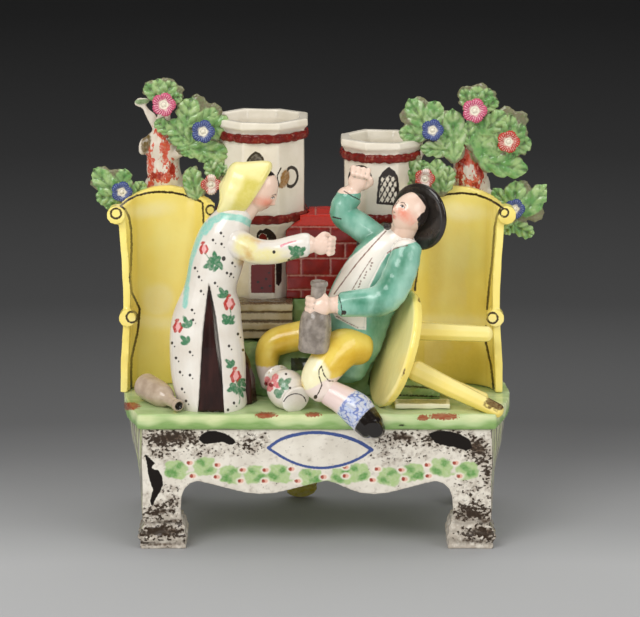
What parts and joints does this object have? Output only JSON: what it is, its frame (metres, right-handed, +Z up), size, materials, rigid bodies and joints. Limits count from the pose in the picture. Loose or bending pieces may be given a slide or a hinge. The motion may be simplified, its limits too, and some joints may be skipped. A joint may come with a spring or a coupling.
{
  "type": "figure group",
  "caption": "Enamelled earthenware figure group: two figures, settees, trees and tower vases on a four-legged table base.",
  "frame": {"origin": "middle of the group's footprint, on the table it stands on", "axes": "+Z up, -Y towards the viewer of the painted front, +X to the right"},
  "size_m": [0.2206, 0.099, 0.2179],
  "materials": {
    "pearlware": "gloss glaze",
    "green_ground": "gloss glaze",
    "yellow_enamel": "gloss glaze",
    "brick_red": "gloss glaze",
    "buff_steps": "gloss glaze",
    "trunk_enamel": "gloss glaze",
    "leaf_green": "gloss glaze",
    "flower_pink": "gloss glaze",
    "flower_blue": "gloss glaze",
    "flower_red": "gloss glaze",
    "grey_bottle": "satin glaze",
    "buff_bottle": "satin glaze",
    "dark_cloth": "gloss glaze",
    "sprigged_white": "gloss glaze",
    "flesh": "gloss glaze",
    "coat_green": "gloss glaze",
    "hat_black": "gloss glaze",
    "breeches_yellow": "gloss glaze",
    "stocking_white": "gloss glaze"
  },
  "bodies": {
    "root": {"base_slab": "green_ground", "base_front": "pearlware", "base_back": "pearlware", "base_left": "pearlware", "base_right": "pearlware", "vase_left": "pearlware", "vase_right": "pearlware", "vase_left_upper_band": "brick_red", "vase_left_lower_band": "brick_red", "vase_right_upper_band": "brick_red", "vase_right_lower_band": "brick_red", "settee_left": "yellow_enamel", "settee_right": "yellow_enamel", "table_top": "yellow_enamel", "table_leg_upper": "yellow_enamel", "table_leg_lower": "yellow_enamel", "table_leg_back": "yellow_enamel", "fallen_tablet": "pearlware", "hearth_bricks": "brick_red", "hearth_steps": "buff_steps", "ground_mound": "green_ground", "tree_left": "trunk_enamel", "tree_right": "trunk_enamel", "held_bottle": "grey_bottle", "woman_petticoat": "dark_cloth", "woman_gown": "sprigged_white", "woman_head": "flesh", "woman_bonnet": "yellow_enamel", "woman_arm": "sprigged_white", "man_body": "coat_green", "man_head": "flesh", "man_hat": "hat_black", "man_arm_raised": "coat_green", "man_arm_lower": "coat_green", "man_leg_near": "breeches_yellow", "man_boot": "stocking_white", "man_leg_far": "breeches_yellow", "floral_jug": "sprigged_white", "fallen_bottle": "buff_bottle", "flower_left_pink": "flower_pink", "flower_left_blue": "flower_blue", "flower_left_red": "flower_red", "flower_left_low_blue": "flower_blue", "flower_right_pink": "flower_pink", "flower_right_blue": "flower_blue", "flower_right_red": "flower_red", "flower_right_low_red": "flower_red", "flower_right_low_blue": "flower_blue", "leaf_left_top": "leaf_green", "leaf_left_main": "leaf_green", "leaf_left_inner": "leaf_green", "leaf_left_small": "leaf_green", "leaf_left_low": "leaf_green", "leaf_right_top": "leaf_green", "leaf_right_inner": "leaf_green", "leaf_right_outer": "leaf_green", "leaf_right_main": "leaf_green", "leaf_right_low_inner": "leaf_green", "leaf_right_low": "leaf_green"}
  },
  "joints": []
}
